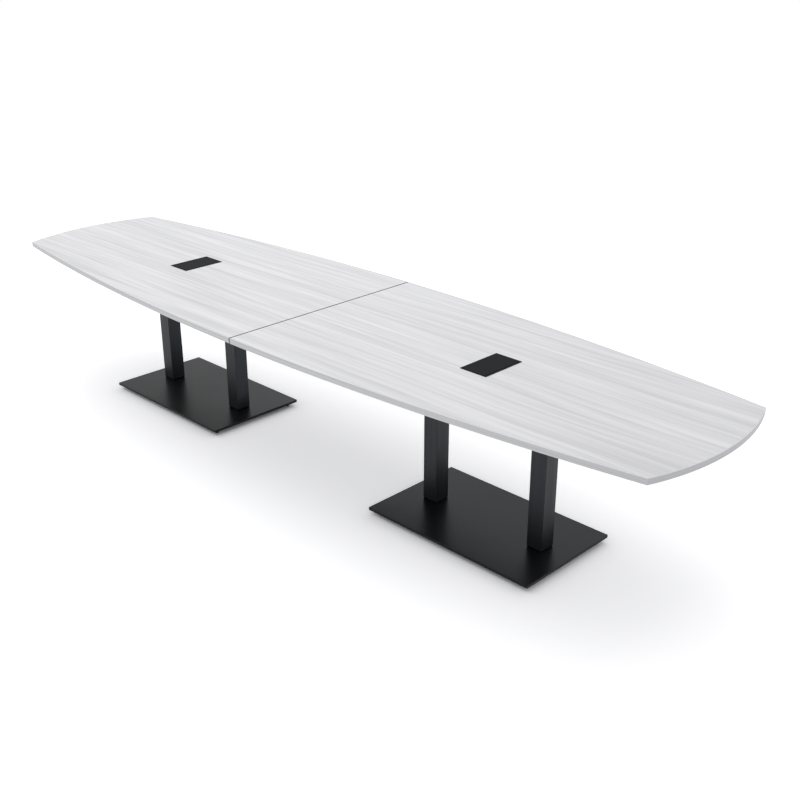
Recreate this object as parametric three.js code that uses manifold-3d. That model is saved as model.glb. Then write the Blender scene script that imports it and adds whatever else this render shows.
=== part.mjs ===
// Boat-shaped conference table in two halves: a laminated top with a seam across its middle,
// two steel base plates with two square columns each, and a power module with a hinged lid
// let into each half of the top.
// Millimetres, +Z up. The origin is on the floor under the middle of the top, +X runs along
// the table towards the right half, and -Y is the front long side.
import * as THREE from 'three';
import { mergeVertices } from 'three/addons/utils/BufferGeometryUtils.js';
import loadManifold from 'manifold-3d';

// Table top
const TOP_LENGTH = 4267;
const TOP_MIDDLE_WIDTH = 1142;
const TOP_END_WIDTH = 812;
const TOP_END_BOW = 77; // how far a curved end stands out past its two corners
const TOP_HEIGHT = 781; // work surface above the floor
const TOP_THICKNESS = 25.4;
const EDGE_BAND_THICKNESS = 3;

// Seam between the two halves, with a spline that lines them up and plates that tie them
const SEAM_GAP = 7;
const SPLINE_REVEAL = 1.2; // how far the spline lies in from the faces of the top
const SPLINE_TONGUE_WIDTH = 24;
const SPLINE_TONGUE_THICKNESS = 6;
const SPLINE_TONGUE_STOP = 40; // from the long sides to the ends of the tongue
const SEAM_PLATE_LENGTH = 160;
const SEAM_PLATE_WIDTH = 60;
const SEAM_PLATE_THICKNESS = 4;
const SEAM_PLATE_SPACING = 350;
const SEAM_PLATE_CORNER = 6;

// Bases
const BASE_CENTRE = 1033; // from the seam to the middle of a base and of its power module
const BASE_PLATE_LENGTH = 914;
const BASE_PLATE_WIDTH = 559;
const BASE_PLATE_THICKNESS = 13;
const BASE_PLATE_CORNER = 2;
const COLUMN_SPACING = 604;
const COLUMN_WIDTH = 80;
const COLUMN_WALL = 3;
const COLUMN_CORNER = 1.5;
const COLUMN_INNER_CORNER = 1;
const PLUG_PAD_HEIGHT = 5; // shadow gap between base plate and column
const PLUG_SETBACK = 1.5; // from the column's face to the pad's face
const PLUG_SPIGOT_HEIGHT = 35;
const BOLT_RADIUS = 6;
const BOLT_HEAD_RADIUS = 9;
const BOLT_HEAD_HEIGHT = 5;
const BOLT_SOCKET_RADIUS = 5;
const BOLT_SOCKET_DEPTH = 3;
const BOLT_ENGAGEMENT = 20; // length of thread in the plug's spigot
const COUNTERBORE_CLEARANCE = 1;
const MOUNTING_PLATE_LENGTH = 140;
const MOUNTING_PLATE_WIDTH = 420;
const MOUNTING_PLATE_THICKNESS = 5;
const MOUNTING_PLATE_CORNER = 8;
const WOOD_SCREW_HOLE_RADIUS = 3;
const WOOD_SCREW_INSET = 15; // from a fixing plate's edges to its screw holes

// Levelling feet, screwed fully in
const FOOT_HEIGHT = 24; // gap between the floor and the base plate
const FOOT_INSET = 38; // from the base plate's edges
const FOOT_PAD_RADIUS = 8;
const FOOT_PAD_HEIGHT = 5;
const FOOT_BODY_RADIUS = 6.5;
const FOOT_STUD_RADIUS = 4;
const FOOT_HOLE_COVER = 3; // steel left above the blind threaded hole
const FOOT_CHAMFER = 1;

// Power modules: bezel and lid
const MODULE_WIDTH = 140;
const MODULE_LENGTH = 234;
const FLANGE_THICKNESS = 2;
const FLANGE_CORNER = 1.5;
const FLANGE_OVERLAP = 5; // how far the flange covers the top around the cut-out
const CUT_OUT_CORNER = 4;
const SKIRT_CLEARANCE = 0.5;
const SKIRT_WALL = 2;
const SKIRT_DEPTH = 18;
const LID_GAP = 0.8;
const LID_THICKNESS = 4;
const LID_BARREL_RADIUS = 4;
const LID_LEDGE_WIDTH = 3;
const LID_LEDGE_THICKNESS = 2;
const PIN_RADIUS = 1.5;
const PIN_CLEARANCE = 0.3;

// Power modules: push latch under the lid's front edge
const LATCH_RADIUS = 3;
const LATCH_TRAVEL = 3;
const LATCH_SETBACK = 8; // from the mouth's front wall to the plunger's axis
const LATCH_GRIP = 6; // length of plunger inside its boss
const LATCH_BOSS_WALL = 2.5;

// Power modules: housing, sockets and fixings under the top
const WELL_DEPTH = 46; // from the work surface to the socket panel
const HOUSING_WALL = 1.5;
const WIRING_ROOM = 14; // below the deepest socket
const SOCKET_PANEL_THICKNESS = 2;
const SOCKET_PANEL_FLANGE = 10;
const SOCKET_LIP = 2;
const SOCKET_LIP_HEIGHT = 3;
const SOCKET_CORNER = 2;
const OUTLET_WIDTH = 34;
const OUTLET_LENGTH = 30;
const OUTLET_DEPTH = 22;
const OUTLET_SLOT_LENGTH = 8;
const OUTLET_SLOT_WIDTH = 2;
const OUTLET_SLOT_SPACING = 12.7;
const OUTLET_SLOT_DEPTH = 16;
const OUTLET_EARTH_RADIUS = 2.6;
const OUTLET_EARTH_OFFSET = 11.9; // from the slots to the earth hole
const USB_WIDTH = 24;
const USB_LENGTH = 30;
const USB_DEPTH = 18;
const USB_SLOT_LENGTH = 9;
const USB_SLOT_WIDTH = 3.2;
const USB_SLOT_SPACING = 14;
const USB_SLOT_DEPTH = 7;
const DATA_WIDTH = 24;
const DATA_LENGTH = 22;
const DATA_DEPTH = 20;
const DATA_SLOT_WIDTH = 11.8;
const DATA_SLOT_LENGTH = 8.4;
const DATA_SLOT_DEPTH = 12;
const DATA_CLIP_WIDTH = 4;
const DATA_CLIP_LENGTH = 2;
const CLAMP_WIDTH = 40;
const CLAMP_REACH = 30;
const CLAMP_DROP = 32;
const CLAMP_THICKNESS = 3;
const GLAND_BORE_RADIUS = 4.5;
const GLAND_SHANK_RADIUS = 7.5;
const GLAND_NUT_RADIUS = 10.5;
const GLAND_NUT_HEIGHT = 4;
const GLAND_BODY_RADIUS = 11;
const GLAND_BODY_HEIGHT = 8;
const GLAND_DOME_RADIUS = 7;
const GLAND_DOME_HEIGHT = 6;
const GLAND_ROOM = 3; // above and below the gland, inside the housing

// Clearances
const FIT = 0.3; // between a piece and the pocket, tube or slot that holds it
const SEAT = 0.1; // between faces that are bolted, welded or glued together
const OVERCUT = 1; // how far a cutting tool runs past the face that it opens

// Facets
const TOP_ARC_STEPS = 16;
const CORNER_STEPS = 2;
const ROUND_SIDES = 20;
const HEX_SIDES = 6;

const material = (color, roughness, metalness) =>
  new THREE.MeshStandardMaterial({ color, roughness, metalness });
const LAMINATE = material(0xe1e2e4, 0.45, 0);
const EDGE_PLASTIC = material(0xcdced0, 0.5, 0);
const SPLINE_PLASTIC = material(0x1c1c1e, 0.7, 0);
const COATED_STEEL = material(0x2c2d2f, 0.5, 0.2);
const ZINC_STEEL = material(0xb4b6b8, 0.35, 1);
const FOOT_PLASTIC = material(0x101011, 0.6, 0);
const MODULE_METAL = material(0x323335, 0.5, 0.2);
const SOCKET_PLASTIC = material(0x18181a, 0.5, 0);

const manifold = await loadManifold();
manifold.setup();

// Closed solid of a geometry, with shared corners welded and flat slivers dropped.
function solidOf(geometry) {
  geometry.deleteAttribute('normal');
  geometry.deleteAttribute('uv');
  const welded = mergeVertices(geometry);
  const corners = welded.index.array;
  const triangles = [];
  for (let i = 0; i < corners.length; i += 3) {
    const [a, b, c] = corners.slice(i, i + 3);
    if (a !== b && b !== c && c !== a) triangles.push(a, b, c);
  }
  return new manifold.Manifold(new manifold.Mesh({
    numProp: 3,
    vertProperties: welded.attributes.position.array,
    triVerts: Uint32Array.from(triangles),
  }));
}

function geometryOf(solid) {
  const { vertProperties, triVerts } = solid.getMesh();
  const geometry = new THREE.BufferGeometry();
  geometry.setAttribute('position', new THREE.BufferAttribute(new Float32Array(vertProperties), 3));
  geometry.setIndex(new THREE.BufferAttribute(new Uint32Array(triVerts), 1));
  return geometry;
}

const join = (...parts) => geometryOf(parts.map(solidOf).reduce((whole, part) => whole.add(part)));
const cut = (part, ...tools) =>
  geometryOf(tools.map(solidOf).reduce((rest, tool) => rest.subtract(tool), solidOf(part)));

// Rectangle about (x, y) with a quarter arc at each corner
function roundedRectangle(width, length, radius, x = 0, y = 0) {
  const shape = new THREE.Shape();
  [[1, 1], [-1, 1], [-1, -1], [1, -1]].forEach(([sx, sy], quarter) => {
    const cornerX = x + sx * (width / 2 - radius);
    const cornerY = y + sy * (length / 2 - radius);
    shape.absarc(cornerX, cornerY, radius, quarter * Math.PI / 2, (quarter + 1) * Math.PI / 2);
  });
  return shape;
}

const circle = (x, y, radius) => roundedRectangle(2 * radius, 2 * radius, radius, x, y);

const polygon = (points) => new THREE.Shape(points.map(([x, y]) => new THREE.Vector2(x, y)));

// Solids that stand on z = 0
const slab = (shape, thickness, curveSegments = CORNER_STEPS) =>
  new THREE.ExtrudeGeometry(shape, { depth: thickness, bevelEnabled: false, curveSegments });

const block = (width, length, height) =>
  new THREE.BoxGeometry(width, length, height).translate(0, 0, height / 2);

const rod = (radius, length, sides = ROUND_SIDES) =>
  new THREE.CylinderGeometry(radius, radius, length, sides)
    .rotateX(Math.PI / 2)
    .translate(0, 0, length / 2);

// Solid of revolution about Z, from [radius, height] points
const turned = (points) =>
  new THREE.LatheGeometry(points.map(([r, z]) => new THREE.Vector2(r, z)), ROUND_SIDES)
    .rotateX(Math.PI / 2);

// Extruded [x, z] outline and round rod laid along Y, centred on y = 0
const alongY = (shape, length, curveSegments = CORNER_STEPS) =>
  slab(shape, length, curveSegments).rotateX(Math.PI / 2).translate(0, length / 2, 0);
const rodAlongY = (radius, length) => new THREE.CylinderGeometry(radius, radius, length, ROUND_SIDES);

function piece(name, geometry, finish, x = 0, y = 0, z = 0) {
  geometry.computeVertexNormals();
  const mesh = new THREE.Mesh(geometry, finish);
  mesh.name = name;
  mesh.position.set(x, y, z);
  return mesh;
}

// Heights above the floor
const topUnderside = TOP_HEIGHT - TOP_THICKNESS;
const basePlateTop = FOOT_HEIGHT + BASE_PLATE_THICKNESS;
const plugBottom = basePlateTop + SEAT;
const columnBottom = plugBottom + PLUG_PAD_HEIGHT + SEAT;
const mountingPlateBottom = topUnderside - SEAT - MOUNTING_PLATE_THICKNESS;
const columnLength = mountingPlateBottom - SEAT - columnBottom;

// Outline of one half of the top: two long sides on one large arc each and a bowed end
const bowRadius = (halfChord, bow) => (halfChord ** 2 + bow ** 2) / (2 * bow);
const topCornerX = TOP_LENGTH / 2 - TOP_END_BOW;
const sideRadius = bowRadius(topCornerX, (TOP_MIDDLE_WIDTH - TOP_END_WIDTH) / 2);
const endRadius = bowRadius(TOP_END_WIDTH / 2, TOP_END_BOW);
const sideCentreY = TOP_MIDDLE_WIDTH / 2 - sideRadius;
const endCentreX = TOP_LENGTH / 2 - endRadius;

// Front side, end and rear side as [centre x, centre y, radius, start angle, end angle]
function halfOutline(inset) {
  const side = sideRadius - inset;
  const end = endRadius - inset;
  const span = Math.hypot(endCentreX, sideCentreY);
  const along = (side ** 2 - end ** 2 + span ** 2) / (2 * span);
  const across = Math.sqrt(side ** 2 - along ** 2);
  const cornerX = (endCentreX * along - sideCentreY * across) / span;
  const cornerY = sideCentreY - (sideCentreY * along + endCentreX * across) / span;
  const cornerAngle = Math.atan2(cornerY - sideCentreY, cornerX);
  const seamAngle = Math.acos(SEAM_GAP / 2 / side);
  const endAngle = Math.atan2(cornerY, cornerX - endCentreX);
  return [
    [0, -sideCentreY, side, -seamAngle, -cornerAngle],
    [endCentreX, 0, end, -endAngle, endAngle],
    [0, sideCentreY, side, cornerAngle, seamAngle],
  ];
}

function traceOutline(shape, inset) {
  halfOutline(inset).forEach(([x, y, radius, start, end]) => {
    shape.absarc(x, y, radius, start, end, false);
  });
}

function traceBack(shape, inset) {
  halfOutline(inset).reverse().forEach(([x, y, radius, start, end]) => {
    shape.absarc(x, y, radius, end, start, true);
  });
}

// Widths and lengths around the module's mouth
const cutOutWidth = MODULE_WIDTH - 2 * FLANGE_OVERLAP;
const cutOutLength = MODULE_LENGTH - 2 * FLANGE_OVERLAP;
const skirtWidth = cutOutWidth - 2 * SKIRT_CLEARANCE;
const skirtLength = cutOutLength - 2 * SKIRT_CLEARANCE;
const skirtCorner = CUT_OUT_CORNER - SKIRT_CLEARANCE;
const mouthWidth = skirtWidth - 2 * SKIRT_WALL;
const mouthLength = skirtLength - 2 * SKIRT_WALL;

function topPanel() {
  const shape = new THREE.Shape();
  traceOutline(shape, EDGE_BAND_THICKNESS + SEAT);
  const board = slab(shape, TOP_THICKNESS, TOP_ARC_STEPS);
  const cutOut = roundedRectangle(cutOutWidth, cutOutLength, CUT_OUT_CORNER, BASE_CENTRE);
  const opening = slab(cutOut, TOP_THICKNESS + 2 * OVERCUT).translate(0, 0, -OVERCUT);
  const grooveDepth = (SPLINE_TONGUE_WIDTH - SEAM_GAP) / 2 + FIT;
  const groove = block(
    grooveDepth + OVERCUT,
    TOP_MIDDLE_WIDTH - 2 * SPLINE_TONGUE_STOP + 2 * FIT,
    SPLINE_TONGUE_THICKNESS + 2 * FIT,
  ).translate(
    SEAM_GAP / 2 + (grooveDepth - OVERCUT) / 2,
    0,
    (TOP_THICKNESS - SPLINE_TONGUE_THICKNESS) / 2 - FIT,
  );
  return cut(board, opening, groove);
}

function edgeBand() {
  const shape = new THREE.Shape();
  traceOutline(shape, 0);
  traceBack(shape, EDGE_BAND_THICKNESS);
  return slab(shape, TOP_THICKNESS, TOP_ARC_STEPS);
}

// Flat steel plate with a screw hole in each corner
function fixingPlate(width, length, thickness, corner) {
  const shape = roundedRectangle(width, length, corner);
  for (const sx of [-1, 1]) {
    for (const sy of [-1, 1]) {
      const x = sx * (width / 2 - WOOD_SCREW_INSET);
      const y = sy * (length / 2 - WOOD_SCREW_INSET);
      shape.holes.push(circle(x, y, WOOD_SCREW_HOLE_RADIUS));
    }
  }
  return slab(shape, thickness);
}

function seamSpline() {
  const web = new THREE.BoxGeometry(
    SEAM_GAP - 2 * FIT,
    TOP_MIDDLE_WIDTH - 2 * SPLINE_REVEAL,
    TOP_THICKNESS - 2 * SPLINE_REVEAL,
  );
  const tongue = new THREE.BoxGeometry(
    SPLINE_TONGUE_WIDTH,
    TOP_MIDDLE_WIDTH - 2 * SPLINE_TONGUE_STOP,
    SPLINE_TONGUE_THICKNESS,
  );
  return join(web, tongue);
}

// Places in a base's own frame, with its middle at x = 0
const columnPlaces = [['inner', -COLUMN_SPACING / 2], ['outer', COLUMN_SPACING / 2]];
const footPlaces = [-1, 1].flatMap((sx) => [-1, 1].map((sy) => ({
  sx,
  sy,
  x: sx * (BASE_PLATE_LENGTH / 2 - FOOT_INSET),
  y: sy * (BASE_PLATE_WIDTH / 2 - FOOT_INSET),
})));
const counterboreDepth = BOLT_HEAD_HEIGHT + COUNTERBORE_CLEARANCE;
const footStudLength = BASE_PLATE_THICKNESS - FOOT_HOLE_COVER - FIT;

function basePlate() {
  const shape = roundedRectangle(BASE_PLATE_LENGTH, BASE_PLATE_WIDTH, BASE_PLATE_CORNER);
  const tools = [];
  for (const [, x] of columnPlaces) {
    shape.holes.push(circle(x, 0, BOLT_RADIUS + FIT));
    tools.push(rod(BOLT_HEAD_RADIUS + FIT, counterboreDepth + OVERCUT).translate(x, 0, -OVERCUT));
  }
  for (const { x, y } of footPlaces) {
    tools.push(rod(FOOT_STUD_RADIUS + FIT, footStudLength + FIT + OVERCUT).translate(x, y, -OVERCUT));
  }
  return cut(slab(shape, BASE_PLATE_THICKNESS), ...tools);
}

function column() {
  const shape = roundedRectangle(COLUMN_WIDTH, COLUMN_WIDTH, COLUMN_CORNER);
  const bore = COLUMN_WIDTH - 2 * COLUMN_WALL;
  shape.holes.push(roundedRectangle(bore, bore, COLUMN_INNER_CORNER));
  return slab(shape, columnLength);
}

// Block in the column's foot: a set-back pad that carries the tube, and a spigot inside it
function columnPlug() {
  const padWidth = COLUMN_WIDTH - 2 * PLUG_SETBACK;
  const spigotWidth = COLUMN_WIDTH - 2 * COLUMN_WALL - 2 * FIT;
  const height = PLUG_PAD_HEIGHT + PLUG_SPIGOT_HEIGHT;
  const pad = slab(roundedRectangle(padWidth, padWidth, COLUMN_CORNER), PLUG_PAD_HEIGHT);
  const spigot = slab(roundedRectangle(spigotWidth, spigotWidth, COLUMN_INNER_CORNER + FIT), height);
  const thread = rod(BOLT_RADIUS + FIT, height + 2 * OVERCUT).translate(0, 0, -OVERCUT);
  return cut(join(pad, spigot), thread);
}

// Bolt from under the base plate, standing on its head
function columnBolt() {
  const reach = BASE_PLATE_THICKNESS - counterboreDepth + PLUG_PAD_HEIGHT + BOLT_ENGAGEMENT;
  const body = turned([
    [0, 0],
    [BOLT_HEAD_RADIUS, 0],
    [BOLT_HEAD_RADIUS, BOLT_HEAD_HEIGHT],
    [BOLT_RADIUS, BOLT_HEAD_HEIGHT],
    [BOLT_RADIUS, BOLT_HEAD_HEIGHT + reach],
    [0, BOLT_HEAD_HEIGHT + reach],
  ]);
  const socket = rod(BOLT_SOCKET_RADIUS, BOLT_SOCKET_DEPTH + OVERCUT, HEX_SIDES).translate(0, 0, -OVERCUT);
  return cut(body, socket);
}

function levellingFoot() {
  const shoulder = FOOT_HEIGHT - FIT;
  return geometryOf(solidOf(turned([
    [0, 0],
    [FOOT_PAD_RADIUS - FOOT_CHAMFER, 0],
    [FOOT_PAD_RADIUS, FOOT_CHAMFER],
    [FOOT_PAD_RADIUS, FOOT_PAD_HEIGHT],
    [FOOT_BODY_RADIUS, FOOT_PAD_HEIGHT + FOOT_CHAMFER],
    [FOOT_BODY_RADIUS, shoulder],
    [FOOT_STUD_RADIUS, shoulder],
    [FOOT_STUD_RADIUS, FOOT_HEIGHT + footStudLength],
    [0, FOOT_HEIGHT + footStudLength],
  ])));
}

function base(side, sideSign) {
  const group = new THREE.Group();
  group.position.x = BASE_CENTRE;
  group.add(piece(`${side}_base_plate`, basePlate(), COATED_STEEL, 0, 0, FOOT_HEIGHT));
  const boltBottom = FOOT_HEIGHT + counterboreDepth - SEAT - BOLT_HEAD_HEIGHT;
  for (const [end, x] of columnPlaces) {
    const plate = fixingPlate(
      MOUNTING_PLATE_LENGTH, MOUNTING_PLATE_WIDTH, MOUNTING_PLATE_THICKNESS, MOUNTING_PLATE_CORNER,
    );
    group.add(
      piece(`${side}_${end}_column_bolt`, columnBolt(), ZINC_STEEL, x, 0, boltBottom),
      piece(`${side}_${end}_column_plug`, columnPlug(), FOOT_PLASTIC, x, 0, plugBottom),
      piece(`${side}_${end}_column`, column(), COATED_STEEL, x, 0, columnBottom),
      piece(`${side}_${end}_mounting_plate`, plate, COATED_STEEL, x, 0, mountingPlateBottom),
    );
  }
  for (const { sx, sy, x, y } of footPlaces) {
    const end = sx < 0 ? 'inner' : 'outer';
    const edge = sy * sideSign < 0 ? 'front' : 'rear';
    group.add(piece(`${side}_${end}_${edge}_foot`, levellingFoot(), FOOT_PLASTIC, x, y, 0));
  }
  return group;
}

// Heights in a module's own frame, with z = 0 at the work surface
const flangeTop = SEAT + FLANGE_THICKNESS;
const lidUnderside = flangeTop - LID_THICKNESS;
const lidWidth = mouthWidth - 2 * LID_GAP;
const lidLength = mouthLength - 2 * LID_GAP;
const pinX = lidWidth / 2 - LID_BARREL_RADIUS;
const pinZ = flangeTop - LID_BARREL_RADIUS;
const pinHoleRadius = PIN_RADIUS + PIN_CLEARANCE;
const latchX = -mouthWidth / 2 + LATCH_SETBACK;
const latchTop = lidUnderside - FIT;
const latchBossTop = latchTop - LATCH_TRAVEL;
const latchBottom = latchBossTop - LATCH_GRIP;
const latchBossBottom = latchBottom - LATCH_TRAVEL - FIT - LATCH_BOSS_WALL;
const housingTop = -SKIRT_DEPTH - SEAT;
const socketRoom = Math.max(OUTLET_DEPTH, USB_DEPTH, DATA_DEPTH) + WIRING_ROOM;
const glandReach = Math.max(GLAND_NUT_RADIUS, GLAND_BODY_RADIUS) + GLAND_ROOM;
const housingFloor = -WELL_DEPTH - Math.max(socketRoom, SOCKET_PANEL_FLANGE + 2 * glandReach);
const housingBottom = housingFloor - HOUSING_WALL;
const glandZ = housingFloor + glandReach;
const housingInnerWidth = skirtWidth - 2 * HOUSING_WALL;
const housingInnerLength = skirtLength - 2 * HOUSING_WALL;

function moduleBezel() {
  const flange = slab(roundedRectangle(MODULE_WIDTH, MODULE_LENGTH, FLANGE_CORNER), FLANGE_THICKNESS)
    .translate(0, 0, SEAT);
  const skirt = slab(roundedRectangle(skirtWidth, skirtLength, skirtCorner), SKIRT_DEPTH + flangeTop)
    .translate(0, 0, -SKIRT_DEPTH);
  const mouth = block(mouthWidth, mouthLength, SKIRT_DEPTH + flangeTop + 2 * OVERCUT)
    .translate(0, 0, -SKIRT_DEPTH - OVERCUT);
  const frame = cut(join(flange, skirt), mouth);
  const ledge = block(LID_LEDGE_WIDTH + SKIRT_WALL / 2, mouthLength + SKIRT_WALL, LID_LEDGE_THICKNESS)
    .translate(
      -mouthWidth / 2 + LID_LEDGE_WIDTH / 2 - SKIRT_WALL / 4,
      0,
      lidUnderside - FIT - LID_LEDGE_THICKNESS,
    );
  const bossRadius = LATCH_RADIUS + FIT + LATCH_BOSS_WALL;
  const bossDepth = LATCH_SETBACK + bossRadius;
  const boss = block(bossDepth + SKIRT_WALL / 2, 2 * bossRadius, latchBossTop - latchBossBottom)
    .translate(-mouthWidth / 2 + bossDepth / 2 - SKIRT_WALL / 4, 0, latchBossBottom);
  const bore = rod(LATCH_RADIUS + FIT, latchBossTop - latchBossBottom - LATCH_BOSS_WALL + OVERCUT)
    .translate(latchX, 0, latchBossBottom + LATCH_BOSS_WALL);
  const pinHoles = rodAlongY(pinHoleRadius, skirtLength + 2 * OVERCUT).translate(pinX, 0, pinZ);
  return cut(join(frame, ledge, boss), bore, pinHoles);
}

// Flat plate whose rear edge rolls into a round hinge barrel, about the pin's axis
function moduleLid() {
  const front = LID_BARREL_RADIUS - lidWidth;
  const underside = LID_BARREL_RADIUS - LID_THICKNESS;
  const barrelEnd = Math.PI - Math.asin(underside / LID_BARREL_RADIUS);
  const shape = new THREE.Shape();
  shape.moveTo(front, LID_BARREL_RADIUS);
  shape.lineTo(0, LID_BARREL_RADIUS);
  shape.absarc(0, 0, LID_BARREL_RADIUS, Math.PI / 2, barrelEnd, true);
  shape.lineTo(front, underside);
  shape.holes.push(circle(0, 0, pinHoleRadius));
  return alongY(shape, lidLength, ROUND_SIDES / 4);
}

const lidPin = () => rodAlongY(PIN_RADIUS, skirtLength - 2 * FIT);

const latchPlunger = () => rod(LATCH_RADIUS, latchTop - latchBottom);

function glandProfile() {
  const outside = HOUSING_WALL + FIT;
  return [
    [GLAND_BORE_RADIUS, -FIT - GLAND_NUT_HEIGHT],
    [GLAND_NUT_RADIUS, -FIT - GLAND_NUT_HEIGHT],
    [GLAND_NUT_RADIUS, -FIT],
    [GLAND_SHANK_RADIUS, -FIT],
    [GLAND_SHANK_RADIUS, outside],
    [GLAND_BODY_RADIUS, outside],
    [GLAND_BODY_RADIUS, outside + GLAND_BODY_HEIGHT],
    [GLAND_DOME_RADIUS, outside + GLAND_BODY_HEIGHT + GLAND_DOME_HEIGHT],
    [GLAND_BORE_RADIUS, outside + GLAND_BODY_HEIGHT + GLAND_DOME_HEIGHT],
    [GLAND_BORE_RADIUS, -FIT - GLAND_NUT_HEIGHT],
  ];
}

function moduleHousing() {
  const height = housingTop - housingBottom;
  const shell = slab(roundedRectangle(skirtWidth, skirtLength, skirtCorner), height);
  const hollow = block(housingInnerWidth, housingInnerLength, height).translate(0, 0, HOUSING_WALL);
  const glandHole = rod(GLAND_SHANK_RADIUS + FIT, HOUSING_WALL + 2 * OVERCUT)
    .rotateY(Math.PI / 2)
    .translate(housingInnerWidth / 2 - OVERCUT, 0, glandZ - housingBottom);
  return cut(shell, hollow, glandHole);
}

// Socket with a lip that lies on the panel at z = 0, and a body below it
function socket(width, length, depth, ...openings) {
  const lip = slab(
    roundedRectangle(width + 2 * SOCKET_LIP, length + 2 * SOCKET_LIP, SOCKET_CORNER), SOCKET_LIP_HEIGHT,
  ).translate(0, 0, SEAT);
  const body = block(width, length, depth + SEAT + SOCKET_LIP_HEIGHT / 2).translate(0, 0, -depth);
  return cut(join(lip, body), ...openings);
}

const socketFace = SEAT + SOCKET_LIP_HEIGHT;
const slot = (width, length, depth, x, y) =>
  block(width, length, depth + OVERCUT).translate(x, y, socketFace - depth);

function powerOutlet() {
  const slotX = -OUTLET_EARTH_OFFSET / 2;
  const slots = [-1, 1].map((sy) => slot(
    OUTLET_SLOT_LENGTH, OUTLET_SLOT_WIDTH, OUTLET_SLOT_DEPTH, slotX, sy * OUTLET_SLOT_SPACING / 2,
  ));
  const earth = rod(OUTLET_EARTH_RADIUS, OUTLET_SLOT_DEPTH + OVERCUT)
    .translate(slotX + OUTLET_EARTH_OFFSET, 0, socketFace - OUTLET_SLOT_DEPTH);
  return socket(OUTLET_WIDTH, OUTLET_LENGTH, OUTLET_DEPTH, ...slots, earth);
}

function usbPort() {
  const slots = [-1, 1].map((sy) => slot(
    USB_SLOT_LENGTH, USB_SLOT_WIDTH, USB_SLOT_DEPTH, 0, sy * USB_SLOT_SPACING / 2,
  ));
  return socket(USB_WIDTH, USB_LENGTH, USB_DEPTH, ...slots);
}

function dataPort() {
  const clipY = (DATA_SLOT_LENGTH + DATA_CLIP_LENGTH) / 2;
  return socket(
    DATA_WIDTH, DATA_LENGTH, DATA_DEPTH,
    slot(DATA_SLOT_WIDTH, DATA_SLOT_LENGTH, DATA_SLOT_DEPTH, 0, 0),
    slot(DATA_CLIP_WIDTH, DATA_CLIP_LENGTH + OVERCUT, DATA_SLOT_DEPTH, 0, clipY - OVERCUT / 2),
  );
}

// Row of sockets along the module, with equal gaps between them
const socketKinds = [
  ['outlet_1', powerOutlet, OUTLET_WIDTH, OUTLET_LENGTH],
  ['outlet_2', powerOutlet, OUTLET_WIDTH, OUTLET_LENGTH],
  ['usb_port', usbPort, USB_WIDTH, USB_LENGTH],
  ['data_port', dataPort, DATA_WIDTH, DATA_LENGTH],
];
const socketPanelLength = housingInnerLength - 2 * FIT;
const socketsLength = socketKinds.reduce((sum, [, , , length]) => sum + length, 0);
const socketGap = (socketPanelLength - socketsLength) / (socketKinds.length + 1);
let rowEnd = -socketPanelLength / 2;
const socketRow = socketKinds.map(([name, make, width, length]) => {
  const y = rowEnd + socketGap + length / 2;
  rowEnd = y + length / 2;
  return { name, make, width, length, y };
});

// Folded tray that holds the sockets, with flanges down the housing's long walls
function socketPanel() {
  const half = housingInnerWidth / 2 - FIT;
  const inner = half - SOCKET_PANEL_THICKNESS;
  const tray = alongY(polygon([
    [-half, 0],
    [-half, -SOCKET_PANEL_FLANGE],
    [-inner, -SOCKET_PANEL_FLANGE],
    [-inner, -SOCKET_PANEL_THICKNESS],
    [inner, -SOCKET_PANEL_THICKNESS],
    [inner, -SOCKET_PANEL_FLANGE],
    [half, -SOCKET_PANEL_FLANGE],
    [half, 0],
  ]), socketPanelLength);
  const windows = socketRow.map(({ width, length, y }) =>
    block(width + 2 * FIT, length + 2 * FIT, SOCKET_PANEL_THICKNESS + 2 * OVERCUT)
      .translate(0, y, -SOCKET_PANEL_THICKNESS - OVERCUT));
  return cut(tray, ...windows);
}

// Angle bracket: one leg down the housing's end, one under the top
function clampBracket() {
  const shape = polygon([
    [0, 0],
    [0, -CLAMP_DROP],
    [CLAMP_THICKNESS, -CLAMP_DROP],
    [CLAMP_THICKNESS, -CLAMP_THICKNESS],
    [CLAMP_REACH, -CLAMP_THICKNESS],
    [CLAMP_REACH, 0],
  ]);
  return alongY(shape, CLAMP_WIDTH).rotateZ(Math.PI / 2);
}

function powerModule(side, sideSign) {
  const group = new THREE.Group();
  group.position.set(BASE_CENTRE, 0, TOP_HEIGHT);
  group.add(
    piece(`${side}_module_bezel`, moduleBezel(), MODULE_METAL),
    piece(`${side}_module_lid`, moduleLid(), MODULE_METAL, pinX, 0, pinZ),
    piece(`${side}_lid_pin`, lidPin(), ZINC_STEEL, pinX, 0, pinZ),
    piece(`${side}_latch_plunger`, latchPlunger(), SOCKET_PLASTIC, latchX, 0, latchBottom),
    piece(`${side}_module_housing`, moduleHousing(), COATED_STEEL, 0, 0, housingBottom),
    piece(`${side}_socket_panel`, socketPanel(), COATED_STEEL, 0, 0, -WELL_DEPTH),
  );
  for (const { name, make, y } of socketRow) {
    group.add(piece(`${side}_${name}`, make(), SOCKET_PLASTIC, 0, y, -WELL_DEPTH));
  }
  const gland = geometryOf(solidOf(turned(glandProfile())));
  const glandMesh = piece(`${side}_cable_gland`, gland, SOCKET_PLASTIC, housingInnerWidth / 2, 0, glandZ);
  glandMesh.rotation.y = Math.PI / 2;
  group.add(glandMesh);
  for (const sy of [-1, 1]) {
    const edge = sy * sideSign < 0 ? 'front' : 'rear';
    const clamp = piece(`${side}_${edge}_clamp`, clampBracket(), ZINC_STEEL);
    clamp.position.set(0, sy * (skirtLength / 2 + SEAT), -TOP_THICKNESS - SEAT);
    clamp.rotation.z = sy < 0 ? Math.PI : 0;
    group.add(clamp);
  }
  return group;
}

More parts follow.
